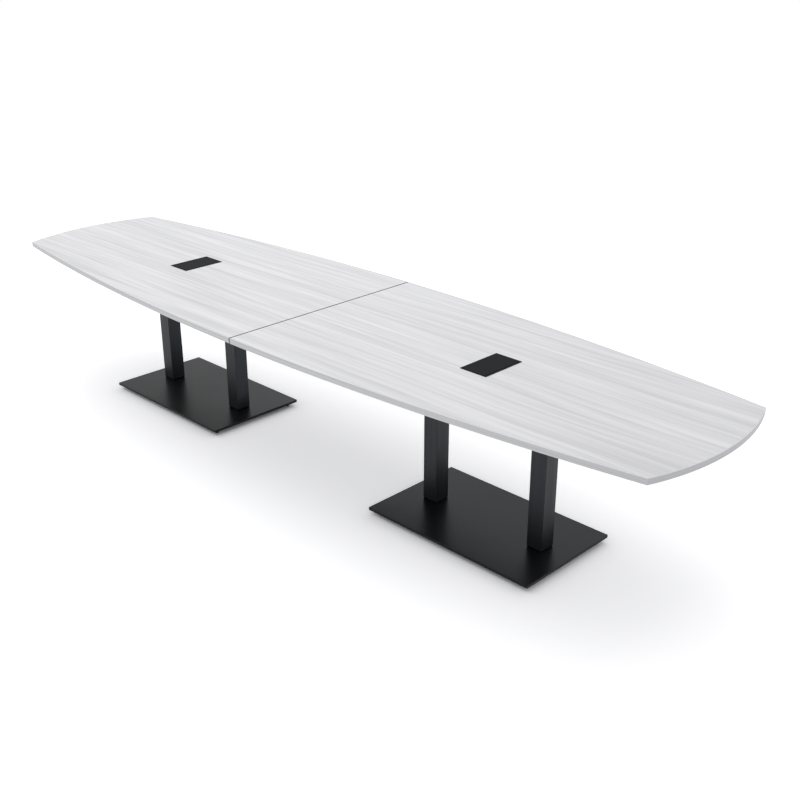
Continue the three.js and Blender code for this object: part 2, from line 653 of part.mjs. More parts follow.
const table = new THREE.Group();
for (const [side, sideSign, turn] of [['left', -1, Math.PI], ['right', 1, 0]]) {
  const half = new THREE.Group();
  half.rotation.z = turn;
  half.add(
    piece(`${side}_top_panel`, topPanel(), LAMINATE, 0, 0, topUnderside),
    piece(`${side}_edge_band`, edgeBand(), EDGE_PLASTIC, 0, 0, topUnderside),
    base(side, sideSign),
    powerModule(side, sideSign),
  );
  table.add(half);
}
table.add(piece('seam_spline', seamSpline(), SPLINE_PLASTIC, 0, 0, topUnderside + TOP_THICKNESS / 2));
for (const [place, y] of [['front', -SEAM_PLATE_SPACING], ['middle', 0], ['rear', SEAM_PLATE_SPACING]]) {
  const plate = fixingPlate(SEAM_PLATE_LENGTH, SEAM_PLATE_WIDTH, SEAM_PLATE_THICKNESS, SEAM_PLATE_CORNER);
  const z = topUnderside - SEAT - SEAM_PLATE_THICKNESS;
  table.add(piece(`seam_plate_${place}`, plate, ZINC_STEEL, 0, y, z));
}

export default table;
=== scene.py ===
# Boat-shaped conference table: a pale laminate top in two halves on black steel bases, with a
# lidded power module let into each half. Metres, +Z up, in the frame of the CAD part.
import math

import bmesh
import bpy
from mathutils import Matrix, Vector


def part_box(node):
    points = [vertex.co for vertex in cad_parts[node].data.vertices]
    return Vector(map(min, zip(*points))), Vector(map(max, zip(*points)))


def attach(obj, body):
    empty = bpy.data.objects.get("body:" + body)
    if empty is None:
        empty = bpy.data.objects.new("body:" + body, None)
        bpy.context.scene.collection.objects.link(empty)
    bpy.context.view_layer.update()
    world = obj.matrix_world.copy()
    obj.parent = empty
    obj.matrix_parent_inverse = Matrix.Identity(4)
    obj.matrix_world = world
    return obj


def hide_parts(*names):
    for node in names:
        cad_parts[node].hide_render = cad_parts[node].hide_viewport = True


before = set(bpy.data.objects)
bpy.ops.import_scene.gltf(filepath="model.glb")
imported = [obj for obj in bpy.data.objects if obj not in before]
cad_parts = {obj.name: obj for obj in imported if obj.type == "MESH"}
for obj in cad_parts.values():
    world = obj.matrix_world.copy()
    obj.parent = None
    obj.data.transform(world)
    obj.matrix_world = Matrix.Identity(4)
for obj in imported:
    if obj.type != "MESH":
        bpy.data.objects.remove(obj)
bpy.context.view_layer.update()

# Base plates: 13 mm steel plate, cut square with small rounded corners and an eased arris, then
# powder coated in a fine black texture. Each stands on four feet and carries two columns.
SIDES = ("left", "right")
PLATE_ARRIS = 0.0004
ARRIS_STEPS = 2
SEEN_ARRIS_STEPS = 3
SHARP_EDGE = math.radians(40)
CORNER_JOIN = 0.00001
COAT_COLOUR = (0.0032, 0.0034, 0.0040, 1)
COAT_PALE = (0.0060, 0.0063, 0.0071, 1)
COAT_SHEEN = (0.84, 0.89, 1, 1)
COAT_ROUGHNESS = 0.33
COAT_GLOSS = 0.21
COAT_GRIT = 1400  # grains per metre
COAT_GRIT_RELIEF = 0.25
COAT_GRIT_DEPTH = 0.00012
COAT_CLOUDS = 6  # per metre
CLOUD_SHARE = 0.6
CLOUDS_ROUGHEN = 0.1
SPECKS_ROUGHEN = 0.18
DRAWN_LINES = (170, 170, 1.6)  # per metre along X, Y and Z
NOISE_MEAN = 0.5
NOISE_SPAN = (0.3, 0.7)  # holds most of a noise's values


class Value:
    """A shader socket. Sums, differences and products of values add Math nodes to its tree."""

    def __init__(self, socket):
        self.socket = socket

    def node(self, kind, settings, inputs, output=0):
        """Adds a node with its settings, fills or links its sockets and gives one of its outputs."""
        tree = self.socket.id_data
        made = tree.nodes.new(kind)
        for name, setting in settings.items():
            setattr(made, name, setting)
        for name, value in inputs.items():
            if isinstance(value, Value):
                tree.links.new(value.socket, made.inputs[name])
            else:
                made.inputs[name].default_value = value
        return Value(made.outputs[output])

    def math(self, operation, first, second):
        return self.node("ShaderNodeMath", {"operation": operation}, {0: first, 1: second})

    def __add__(self, other):
        return self.math("ADD", self, other)

    def __radd__(self, other):
        return self.math("ADD", other, self)

    def __sub__(self, other):
        return self.math("SUBTRACT", self, other)

    def __rsub__(self, other):
        return self.math("SUBTRACT", other, self)

    def __mul__(self, other):
        return self.math("MULTIPLY", self, other)

    def __rmul__(self, other):
        return self.math("MULTIPLY", other, self)

    def noise(self, scale, detail=2, roughness=0.5):
        inputs = {"Vector": self, "Scale": scale, "Detail": detail, "Roughness": roughness}
        return self.node("ShaderNodeTexNoise", {}, inputs)

    def stretched(self, factors):
        return self.node("ShaderNodeVectorMath", {"operation": "MULTIPLY"}, {0: self, 1: factors})

    def part(self, axis):
        return self.node("ShaderNodeSeparateXYZ", {}, {0: self}, axis)

    def between(self, low, high):
        inputs = {"Value": self, "From Min": low, "From Max": high}
        return self.node("ShaderNodeMapRange", {}, inputs)

    def colours(self, dark, pale):
        return self.node("ShaderNodeMix", {"data_type": "RGBA"}, {0: self, 6: dark, 7: pale}, 2)

    def bump(self, strength, depth):
        inputs = {"Height": self, "Strength": strength, "Distance": depth}
        return self.node("ShaderNodeBump", {}, inputs)

    def into(self, shader, name):
        self.socket.id_data.links.new(self.socket, shader.inputs[name])


def new_finish(name, **fixed):
    """A material with fixed values on its shader, and the object's own coordinates to vary it by."""
    material = bpy.data.materials.new(name)
    material.use_nodes = True
    shader = material.node_tree.nodes["Principled BSDF"]
    for socket, value in fixed.items():
        shader.inputs[socket.replace("_", " ").title().replace("Ior", "IOR")].default_value = value
    place = Value(material.node_tree.nodes.new("ShaderNodeTexCoord").outputs["Object"])
    return material, shader, place


def powder_coat(name, colour, pale, grit, roughness, gloss, drawn=0):
    """A fine-grained coat. With drawn, lines of the drawn steel below show through along Z."""
    material, shader, place = new_finish(name, specular_ior_level=gloss, specular_tint=COAT_SHEEN)
    clouds = place.noise(COAT_CLOUDS, detail=4)
    speck = place.noise(grit)
    lines = (place.stretched(DRAWN_LINES).noise(1, detail=3) - NOISE_MEAN) * drawn
    tone = clouds * CLOUD_SHARE + speck * (1 - CLOUD_SHARE) + lines
    tone.between(*NOISE_SPAN).colours(colour, pale).into(shader, "Base Color")
    rough = roughness + (speck - NOISE_MEAN) * SPECKS_ROUGHEN + (clouds - NOISE_MEAN) * CLOUDS_ROUGHEN
    (rough - lines).into(shader, "Roughness")
    grain = place.noise(grit, detail=3, roughness=0.6)
    grain.bump(COAT_GRIT_RELIEF, COAT_GRIT_DEPTH).into(shader, "Normal")
    return material


def dress(node, material, arris, steps=ARRIS_STEPS):
    """Gives a CAD node its finish, and rounds its sharp edges by the width of an arris."""
    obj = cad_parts[node]
    obj.material_slots[0].material = material
    weld = obj.modifiers.new("weld", "WELD")
    weld.merge_threshold = CORNER_JOIN
    bevel = obj.modifiers.new("arris", "BEVEL")
    bevel.width = arris
    bevel.segments = steps
    bevel.limit_method = "ANGLE"
    bevel.angle_limit = SHARP_EDGE
    normals = obj.modifiers.new("normals", "WEIGHTED_NORMAL")
    normals.keep_sharp = True


black_coat = powder_coat(
    "black_powder_coat", COAT_COLOUR, COAT_PALE, COAT_GRIT, COAT_ROUGHNESS, COAT_GLOSS
)
for side in SIDES:
    dress(f"{side}_base_plate", black_coat, PLATE_ARRIS, SEEN_ARRIS_STEPS)

# Levelling feet: a moulded black glide on a threaded steel stud, screwed up into the plate.
# Each has a flared pad, a waist and six flats for a spanner under the plate.
ENDS = ("inner", "outer")
EDGES = ("front", "rear")
FOOT_COLOUR = (0.0045, 0.0045, 0.0048, 1)
FOOT_PALE = (0.008, 0.008, 0.0085, 1)
FOOT_ROUGHNESS = 0.5
PLASTIC_GLOSS = 0.5
PLASTIC_CLOUDS = 35
PLASTIC_CLOUDS_ROUGHEN = 0.12
PLASTIC_GRAIN = 900
PLASTIC_GRAIN_RELIEF = 0.2
PLASTIC_GRAIN_DEPTH = 0.00008
PAD_RADIUS = 0.008
PAD_HEIGHT = 0.005
SOLE_INSET = 0.0015
RIM_EASE = 0.0004
RIM_HEIGHT = 0.0014
PAD_SHOULDER_INSET = 0.0008
PAD_SHOULDER_DROP = 0.001
WAIST_RADIUS = 0.0062
WAIST_SLOPE = 0.0016
FLATS_RADIUS = 0.0074
FLATS_HEIGHT = 0.007
FLATS_SLOPE = 0.0012
FLATS_CORNER = 0.985  # share of the radius that a softened corner keeps
SHOULDER_GAP = 0.0003
STUD_RADIUS = 0.004
STUD_POINT = 0.0004
THREAD_PITCH = 0.00125
THREAD_DEPTH = 0.0005
ROUND_STEPS = 48
SMOOTH_EDGE = math.radians(38)
VERTEX_JOIN = 0.000001
HEXAGON_SIDE = math.pi / 3


def moulded_plastic(name, colour, pale, roughness, gloss=PLASTIC_GLOSS):
    """A faintly clouded plastic with the fine grain of its mould."""
    material, shader, place = new_finish(name, specular_ior_level=gloss)
    cloud = place.noise(PLASTIC_CLOUDS, detail=3)
    cloud.between(*NOISE_SPAN).colours(colour, pale).into(shader, "Base Color")
    (roughness + (cloud - NOISE_MEAN) * PLASTIC_CLOUDS_ROUGHEN).into(shader, "Roughness")
    grain = place.noise(PLASTIC_GRAIN)
    grain.bump(PLASTIC_GRAIN_RELIEF, PLASTIC_GRAIN_DEPTH).into(shader, "Normal")
    return material


def made_object(name, mesh, material, body):
    """Closes a mesh into a smooth-shaded object with its material, that rides on a body."""
    bmesh.ops.remove_doubles(mesh, verts=mesh.verts, dist=VERTEX_JOIN)
    bmesh.ops.recalc_face_normals(mesh, faces=mesh.faces)
    for face in mesh.faces:
        face.smooth = True
    data = bpy.data.meshes.new(name)
    mesh.to_mesh(data)
    mesh.free()
    data.set_sharp_from_angle(angle=SMOOTH_EDGE)
    data.materials.append(material)
    obj = bpy.data.objects.new(name, data)
    bpy.context.scene.collection.objects.link(obj)
    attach(obj, body)
    return obj


def join_rings(mesh, rings, closed=False):
    """Fills between rings of vertices. A closed row joins up with its first ring, and an open one is
    capped at both ends."""
    following = rings[1:] + rings[:1] if closed else rings[1:]
    for ring, beyond in zip(rings, following):
        for step in range(len(ring)):
            after = (step + 1) % len(ring)
            mesh.faces.new((ring[step], ring[after], beyond[after], beyond[step]))
    if not closed:
        mesh.faces.new(rings[0][::-1])
        mesh.faces.new(rings[-1])


def plain_round(radius, angle):
    return radius


def add_turned(mesh, profile, transform, steps=ROUND_STEPS, shape=plain_round, bored=False):
    """Adds a turned solid of (radius, height) points. shape may change a radius by the angle.
    A bored solid's profile closes on itself around the hole."""
    rings = []
    for radius, height in profile:
        ring = []
        for step in range(steps):
            angle = 2 * math.pi * step / steps
            reach = shape(radius, angle)
            point = Vector((reach * math.cos(angle), reach * math.sin(angle), height))
            ring.append(mesh.verts.new(transform @ point))
        rings.append(ring)
    join_rings(mesh, rings, closed=bored)


def six_flats(*flat_radii):
    """A shape with flats and softened corners where the radius is one of these, and round elsewhere."""

    def reach(radius, angle):
        if radius not in flat_radii:
            return radius
        half = HEXAGON_SIDE / 2
        across = math.cos((angle + half) % HEXAGON_SIDE - half)
        return min(radius * math.cos(half) / across, radius * FLATS_CORNER)

    return reach


def threaded(low, high, crest):
    """Points of a thread's saw-tooth profile between two heights."""
    points = []
    for turn in range(int((high - low) / THREAD_PITCH)):
        base = low + turn * THREAD_PITCH
        points.append((crest - THREAD_DEPTH, base))
        points.append((crest, base + THREAD_PITCH / 2))
    return points


foot_plastic = moulded_plastic("glide_plastic", FOOT_COLOUR, FOOT_PALE, FOOT_ROUGHNESS)
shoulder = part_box("left_base_plate")[0].z - SHOULDER_GAP
for side in SIDES:
    for end in ENDS:
        for edge in EDGES:
            node = f"{side}_{end}_{edge}_foot"
            low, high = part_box(node)
            middle = (low + high) / 2
            profile = [
                (PAD_RADIUS - SOLE_INSET, 0),
                (PAD_RADIUS - RIM_EASE, RIM_EASE),
                (PAD_RADIUS, RIM_HEIGHT),
                (PAD_RADIUS, PAD_HEIGHT - PAD_SHOULDER_DROP),
                (PAD_RADIUS - PAD_SHOULDER_INSET, PAD_HEIGHT),
                (WAIST_RADIUS, PAD_HEIGHT + WAIST_SLOPE),
                (WAIST_RADIUS, shoulder - FLATS_HEIGHT - FLATS_SLOPE),
                (FLATS_RADIUS, shoulder - FLATS_HEIGHT),
                (FLATS_RADIUS, shoulder),
                *threaded(shoulder, high.z - STUD_POINT, STUD_RADIUS),
                (STUD_RADIUS - THREAD_DEPTH, high.z),
            ]
            upright = Matrix.Translation((middle.x, middle.y, 0))
            mesh = bmesh.new()
            add_turned(mesh, profile, upright, shape=six_flats(FLATS_RADIUS))
            foot = made_object(f"{node}_glide", mesh, foot_plastic, f"{node}_body")
            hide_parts(node)

# Column plugs and bolts: a black nylon plug in the foot of each column sets it off the plate with
# a narrow shadow gap, and a zinc-plated bolt holds both down from under the plate.
ZINC_COLOUR = (0.42, 0.425, 0.43, 1)
ZINC_PALE = (0.6, 0.605, 0.61, 1)
PLATING_SPANGLE = 260
PLATING_HAZE = 40
PLATING_ROUGHNESS = 0.28
PLATING_HAZE_ROUGHENS = 0.2
PLATING_GRAIN = 500
PLATING_GRAIN_RELIEF = 0.12
PLATING_GRAIN_DEPTH = 0.00006
# The plug is black nylon, made darker than the coat as painted shade that deepens the gap under each
# column.
PLUG_BLACK_AND_GAP_SHADE = (0.0008, 0.0008, 0.0009, 1)
PLUG_PALE_AND_GAP_SHADE = (0.0018, 0.0018, 0.002, 1)
PLUG_ROUGHNESS = 0.6
PLUG_ARRIS = 0.0006
BOLT_ARRIS = 0.0004
DULL_GLOSS = 0.1


def plated_metal(name, colour, pale):
    """Bright metal with the spangle and haze of its plating."""
    material, shader, place = new_finish(name, metallic=1)
    spangle = place.node("ShaderNodeTexVoronoi", {}, {"Vector": place, "Scale": PLATING_SPANGLE})
    haze = place.noise(PLATING_HAZE, detail=4)
    ((spangle + haze) * 0.5).colours(colour, pale).into(shader, "Base Color")
    (PLATING_ROUGHNESS + haze * PLATING_HAZE_ROUGHENS).into(shader, "Roughness")
    grain = place.noise(PLATING_GRAIN)
    grain.bump(PLATING_GRAIN_RELIEF, PLATING_GRAIN_DEPTH).into(shader, "Normal")
    return material


zinc = plated_metal("bright_zinc", ZINC_COLOUR, ZINC_PALE)
nylon_and_gap_shade = moulded_plastic("nylon_and_gap_shade", PLUG_BLACK_AND_GAP_SHADE, PLUG_PALE_AND_GAP_SHADE, PLUG_ROUGHNESS, DULL_GLOSS)
for side in SIDES:
    for end in ENDS:
        dress(f"{side}_{end}_column_plug", nylon_and_gap_shade, PLUG_ARRIS)
        dress(f"{side}_{end}_column_bolt", zinc, BOLT_ARRIS)

# Columns: 80 mm square steel tube with rounded corners and the same black coat, welded all round
# to a mounting plate that four screws hold up against the top.
COLUMN_ARRIS = 0.0006
COLUMN_CORNER = 0.0015
COLUMN_LINES = 0.5
COLUMN_GLOSS = 0.5
COLUMN_ROUGHNESS = 0.42
CORNER_STEPS = 5
MOUNTING_ARRIS = 0.0008
WELD_RADIUS = 0.0035
WELD_FULLNESS = 0.55
WELD_RIPPLE = 0.0004
WELD_RIPPLE_TURN = 1.9  # radians of ripple at each step
WELD_STEPS = 224
SCREW_HEAD_RADIUS = 0.0052
SCREW_HEAD_HEIGHT = 0.0026
SCREW_RIM_HEIGHT = 0.0008
SCREW_DOME_RADIUS = 0.9 * SCREW_HEAD_RADIUS
SCREW_DOME_HEIGHT = 0.0018
SCREW_CROWN_RADIUS = 0.68 * SCREW_HEAD_RADIUS
SCREW_FLAT_RADIUS = 0.5 * SCREW_HEAD_RADIUS
SCREW_POINT_RADIUS = 0.12 * SCREW_HEAD_RADIUS
SCREW_RECESS_RADIUS = 0.0023
SCREW_RECESS_WIDTH = 0.0009
SCREW_RECESS_DEPTH = 0.0014
SCREW_ARM_SHARPNESS = 6
SCREW_STEPS = 32
SCREW_INSET = 0.015
FIRST_SCREW_TURN = 0.3  # radians, so that each head stops at its own angle
NEXT_SCREW_TURN = 1.1
DOWN = Vector((0, 0, -1))


def rounded_outline(low, high, radius):
    """Rectangle between two corners with rounded corners, anticlockwise from its +X side."""
    inset = Vector((radius, radius))
    near = low.xy + inset
    far = high.xy - inset
    centres = (far, Vector((near.x, far.y)), near, Vector((far.x, near.y)))
    points = []
    for quarter, centre in enumerate(centres):
        for step in range(CORNER_STEPS + 1):
            angle = (quarter + step / CORNER_STEPS) * math.pi / 2
            points.append(centre + radius * Vector((math.cos(angle), math.sin(angle))))
    return points


def point_around(outline, share):
    """The point at a share of the way around a closed outline."""
    stretches = list(zip(outline, outline[1:] + outline[:1]))
    travel = share * sum((end - start).length for start, end in stretches)
    for start, end in stretches:
        length = (end - start).length
        if travel <= length:
            return start.lerp(end, travel / length)
        travel -= length
    return outline[0]


def make_weld(name, low, high, height):
    """Fillet of weld around a tube, just under the plate at that height, with a fine ripple."""
    outline = rounded_outline(low, high, COLUMN_CORNER)
    centre = (low.xy + high.xy) / 2
    mesh = bmesh.new()
    rings = []
    for step in range(WELD_STEPS):
        point = point_around(outline, step / WELD_STEPS)
        outward = (point - centre).normalized()
        reach = WELD_RADIUS + WELD_RIPPLE * math.sin(step * WELD_RIPPLE_TURN)
        face = reach * WELD_FULLNESS
        section = [(0, 0), (reach, 0), (face, -face), (0, -reach)]
        places = [(*(point + outward * out), height + rise) for out, rise in section]
        rings.append([mesh.verts.new(place) for place in places])
    join_rings(mesh, rings, closed=True)
    made_object(name, mesh, black_coat, "table")


def standing(place, facing):
    """The move that stands an upright piece on a face at a place, looking the way that face does."""
    return Matrix.Translation(place) @ facing.to_track_quat("Z", "Y").to_matrix().to_4x4()


def add_screw_head(mesh, place, facing, turn):
    """Adds a pan head with a cross recess, standing on a face at that place."""
    profile = [
        (SCREW_HEAD_RADIUS, 0),
        (SCREW_HEAD_RADIUS, SCREW_RIM_HEIGHT),
        (SCREW_DOME_RADIUS, SCREW_DOME_HEIGHT),
        (SCREW_CROWN_RADIUS, SCREW_HEAD_HEIGHT),
        (SCREW_FLAT_RADIUS, SCREW_HEAD_HEIGHT),
        (SCREW_RECESS_RADIUS, SCREW_HEAD_HEIGHT),
        (SCREW_POINT_RADIUS, SCREW_HEAD_HEIGHT - SCREW_RECESS_DEPTH),
    ]

    def cross(radius, angle):
        if radius != SCREW_RECESS_RADIUS:
            return radius
        arm = abs(math.cos(2 * (angle + turn))) ** SCREW_ARM_SHARPNESS
        return SCREW_RECESS_WIDTH + (SCREW_RECESS_RADIUS - SCREW_RECESS_WIDTH) * arm

    add_turned(mesh, profile, standing(place, facing), SCREW_STEPS, cross)


def make_screws_under(name, node):
    """Four wood screws through a fixing plate into the top above it."""
    low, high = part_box(node)
    mesh = bmesh.new()
    turn = FIRST_SCREW_TURN
    for x in (low.x + SCREW_INSET, high.x - SCREW_INSET):
        for y in (low.y + SCREW_INSET, high.y - SCREW_INSET):
            add_screw_head(mesh, Vector((x, y, low.z)), DOWN, turn)
            turn += NEXT_SCREW_TURN
    made_object(name, mesh, zinc, "table")


drawn_coat = powder_coat(
    "drawn_black_coat", COAT_COLOUR, COAT_PALE, COAT_GRIT, COLUMN_ROUGHNESS, COLUMN_GLOSS, COLUMN_LINES
)
for side in SIDES:
    for end in ENDS:
        column = f"{side}_{end}_column"
        mounting = f"{side}_{end}_mounting_plate"
        dress(column, drawn_coat, COLUMN_ARRIS)
        dress(mounting, black_coat, MOUNTING_ARRIS)
        low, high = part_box(column)
        make_weld(f"{column}_weld", low, high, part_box(mounting)[0].z)
        make_screws_under(f"{side}_{end}_plate_screws", mounting)

# Seam: a black plastic spline lies in grooves in both halves and shows as a thin dark line, and
# three zinc-plated plates screwed on below pull the halves together.
SPLINE_COLOUR = (0.0015, 0.0015, 0.0017, 1)
SPLINE_PALE = (0.003, 0.003, 0.0032, 1)
SPLINE_ROUGHNESS = 0.6
SPLINE_ARRIS = 0.0002
SEAM_PLATE_ARRIS = 0.0006

seam_plastic = moulded_plastic(
    "seam_plastic", SPLINE_COLOUR, SPLINE_PALE, SPLINE_ROUGHNESS, DULL_GLOSS
)
dress("seam_spline", seam_plastic, SPLINE_ARRIS)
for place in ("front", "middle", "rear"):
    node = f"seam_plate_{place}"
    dress(node, zinc, SEAM_PLATE_ARRIS)
    make_screws_under(f"{node}_screws", node)

# Top panels: board faced above with a satin laminate printed with fine grey streaks along the
# table's length. Painted shade makes its underside dark grey, and its cut edges are sealed to match.
LAMINATE_PALE = (0.803, 0.803, 0.818, 1)
LAMINATE_DARK = (0.597, 0.597, 0.614, 1)
LAMINATE_GLOSS = 0.2
LAMINATE_ROUGHNESS = 0.46
LAMINATE_RELIEF = 0.12
LAMINATE_DEPTH = 0.00012
STREAK_DRIFT = (0.9, 2.2, 0)  # per metre along X, Y and Z
STREAK_DRIFT_WIDTH = 0.05
WIDE_STREAK = (1.7, 0.06)  # length and width
MIDDLE_STREAK = (0.8, 0.021)
FINE_STREAK = (0.5, 0.0075)
PORE = (0.09, 0.0012)
MEAN_TONE = 0.5  # half-way from dark to pale
WIDE_TONE = 0.8
MIDDLE_TONE = 1.5
FINE_TONE = 0.5
PORE_TONE = 0.3
MIDDLE_SHINE = 0.1
PORE_SHINE = 0.12
FINE_RELIEF = 0.5  # beside that of the pores
UNDERSIDE_SHADE_COLOUR = (0.1, 0.1, 0.104, 1)
UNDERSIDE_SHADE_PALE = (0.15, 0.15, 0.155, 1)
UNDERSIDE_SHADE_GRAIN = 300
FACE_SLOPE = (0.3, 0.6)  # upward part of the normal where the laminate ends
PANEL_ARRIS = 0.0003


def streaked_laminate(name):
    """Printed streaks of four sizes on what faces up, and a dark grey of painted shade on the rest."""
    material, shader, place = new_finish(name, specular_ior_level=LAMINATE_GLOSS)
    drift = place.stretched(STREAK_DRIFT).noise(1) - NOISE_MEAN
    along = place.part("X")
    across = place.part("Y") + drift * STREAK_DRIFT_WIDTH

    def streaks(size, seed, detail):
        length, width = size
        inputs = {"X": along * (1 / length), "Y": across * (1 / width), "Z": seed}
        return place.node("ShaderNodeCombineXYZ", {}, inputs).noise(1, detail) - NOISE_MEAN

    wide = streaks(WIDE_STREAK, seed=3.1, detail=2)
    middle = streaks(MIDDLE_STREAK, seed=8.7, detail=2)
    fine = streaks(FINE_STREAK, seed=5.3, detail=1)
    pores = streaks(PORE, seed=1.9, detail=1)
    tone = MEAN_TONE + wide * WIDE_TONE + middle * MIDDLE_TONE + fine * FINE_TONE + pores * PORE_TONE
    face = tone.between(0, 1).colours(LAMINATE_DARK, LAMINATE_PALE)
    # Painted shade: whatever does not face up takes this dark grey instead of the laminate.
    grain = place.noise(UNDERSIDE_SHADE_GRAIN, detail=4)
    painted_underside_shade = grain.between(*NOISE_SPAN).colours(UNDERSIDE_SHADE_COLOUR, UNDERSIDE_SHADE_PALE)
    upward = Value(place.socket.node.outputs["Normal"]).part("Z").between(*FACE_SLOPE)
    upward.colours(painted_underside_shade, face).into(shader, "Base Color")
    (LAMINATE_ROUGHNESS - middle * MIDDLE_SHINE - pores * PORE_SHINE).into(shader, "Roughness")
    (fine * FINE_RELIEF + pores).bump(LAMINATE_RELIEF, LAMINATE_DEPTH).into(shader, "Normal")
    return material


laminate = streaked_laminate("streaked_laminate")
for side in SIDES:
    dress(f"{side}_top_panel", laminate, PANEL_ARRIS)

# Edge bands: 3 mm pale grey plastic, glued around the curved edges of each half and trimmed flush
# with an eased arris above and below.
BAND_COLOUR = (0.666, 0.671, 0.687, 1)
BAND_PALE = (0.823, 0.828, 0.845, 1)
BAND_GLOSS = 0.4
BAND_ROUGHNESS = 0.42
BAND_LINES = (0.8, 0.8, 150)  # per metre along X, Y and Z
BAND_LINES_SPAN = (0.25, 0.75)
BAND_LINES_ROUGHEN = 0.12
BAND_GRAIN = 700
BAND_GRAIN_RELIEF = 0.1
BAND_GRAIN_DEPTH = 0.00006
BAND_ARRIS = 0.0005


def edge_plastic(name):
    """Plastic printed with faint level lines along the edge."""
    material, shader, place = new_finish(name, specular_ior_level=BAND_GLOSS)
    lines = place.stretched(BAND_LINES).noise(1, detail=3)
    lines.between(*BAND_LINES_SPAN).colours(BAND_COLOUR, BAND_PALE).into(shader, "Base Color")
    (BAND_ROUGHNESS + lines * BAND_LINES_ROUGHEN).into(shader, "Roughness")
    place.noise(BAND_GRAIN).bump(BAND_GRAIN_RELIEF, BAND_GRAIN_DEPTH).into(shader, "Normal")
    return material


band_plastic = edge_plastic("edge_band_plastic")
for side in SIDES:
    dress(f"{side}_edge_band", band_plastic, BAND_ARRIS, SEEN_ARRIS_STEPS)

# Power module housings: folded black steel boxes under the top, closed with rivets and pressed with
# knock-outs, and held up by two zinc-plated angle brackets with screws into the box and the top.
HALF_TURN = {"left": Matrix.Rotation(math.pi, 4, "Z"), "right": Matrix()}
HOUSING_ARRIS = 0.0003
RIVET_RADIUS = 0.0028
RIVET_HEIGHT = 0.45 * RIVET_RADIUS
RIVET_RISES = (0, 0.5, 1, 1.4)  # radians up the dome
RIVET_STEPS = 24
RIVET_INSET = 0.009
KNOCKOUT_RADIUS = 0.0105
KNOCKOUT_SPREAD = 0.045
PRESSED_EDGE = 0.0004
CLAMP_ARRIS = 0.0005
CLAMP_THICKNESS = 0.003
CLAMP_SCREW_SPREAD = 0.012
TOP_SCREW_TURN = 900  # radians per metre along X
BOX_SCREW_TURN = 700


def add_rivet(mesh, place, facing):
    """Adds a low domed rivet head."""
    profile = [(RIVET_RADIUS * math.cos(rise), RIVET_HEIGHT * math.sin(rise)) for rise in RIVET_RISES]
    add_turned(mesh, profile, standing(place, facing), RIVET_STEPS)


def add_knockout(mesh, place, facing):
    """Adds the raised ring that the press leaves around a knock-out."""
    rim = KNOCKOUT_RADIUS + PRESSED_EDGE
    profile = [(KNOCKOUT_RADIUS, 0), (rim, 0), (rim, PRESSED_EDGE), (KNOCKOUT_RADIUS, PRESSED_EDGE)]
    add_turned(mesh, profile, standing(place, facing), bored=True)


housing_low, housing_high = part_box("right_module_housing")
housing_middle = (housing_low + housing_high) / 2
for side in SIDES:
    turn = HALF_TURN[side]
    dress(f"{side}_module_housing", black_coat, HOUSING_ARRIS)
    mesh = bmesh.new()
    for y, away in ((housing_low.y, -1), (housing_high.y, 1)):
        facing = turn.to_3x3() @ Vector((0, away, 0))
        for x in (housing_low.x + RIVET_INSET, housing_high.x - RIVET_INSET):
            for z in (housing_low.z + RIVET_INSET, housing_middle.z):
                add_rivet(mesh, turn @ Vector((x, y, z)), facing)
    inward = turn.to_3x3() @ Vector((-1, 0, 0))
    for y in (-KNOCKOUT_SPREAD, KNOCKOUT_SPREAD):
        add_knockout(mesh, turn @ Vector((housing_low.x, y, housing_middle.z)), inward)
        add_knockout(mesh, turn @ Vector((housing_middle.x, y, housing_low.z)), DOWN)
    made_object(f"{side}_housing_pressings", mesh, black_coat, "table")
    for edge in EDGES:
        node = f"{side}_{edge}_clamp"
        dress(node, zinc, CLAMP_ARRIS)
        low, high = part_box(node)
        middle = (low + high) / 2
        away = 1 if edge == "rear" else -1
        outer_y = high.y if edge == "rear" else low.y
        inner_y = low.y if edge == "rear" else high.y
        leg_y = inner_y + away * CLAMP_THICKNESS
        mesh = bmesh.new()
        for x in (middle.x - CLAMP_SCREW_SPREAD, middle.x + CLAMP_SCREW_SPREAD):
            under = Vector((x, (leg_y + outer_y) / 2, high.z - CLAMP_THICKNESS))
            add_screw_head(mesh, under, DOWN, x * TOP_SCREW_TURN)
            beside = Vector((x, leg_y, middle.z - CLAMP_THICKNESS))
            add_screw_head(mesh, beside, Vector((0, away, 0)), x * BOX_SCREW_TURN)
        made_object(f"{node}_screws", mesh, zinc, "table")

# Cable glands: black nylon, with a lock nut inside the housing and a spanner hexagon and domed cap
# outside it, around the hole that the supply cord goes through.
SOCKET_COLOUR = (0.008, 0.008, 0.0086, 1)
SOCKET_PALE = (0.014, 0.014, 0.0148, 1)
SOCKET_ROUGHNESS = 0.38
GLAND_BORE = 0.0046
GLAND_SHANK = 0.0075
GLAND_NUT = 0.0105
GLAND_HEXAGON = 0.011
GLAND_CAP = 0.0098
GLAND_NUT_HEIGHT = 0.004
GLAND_SHANK_LENGTH = 0.0021
GLAND_HEXAGON_HEIGHT = 0.0045
GLAND_CAP_HEIGHT = 0.0046
DOME_START_RADIUS = 0.92 * GLAND_CAP
DOME_START = 0.0015
DOME_END_RADIUS = 0.78 * GLAND_CAP
DOME_END = 0.0012
MOUTH_RADIUS = 0.66 * GLAND_CAP

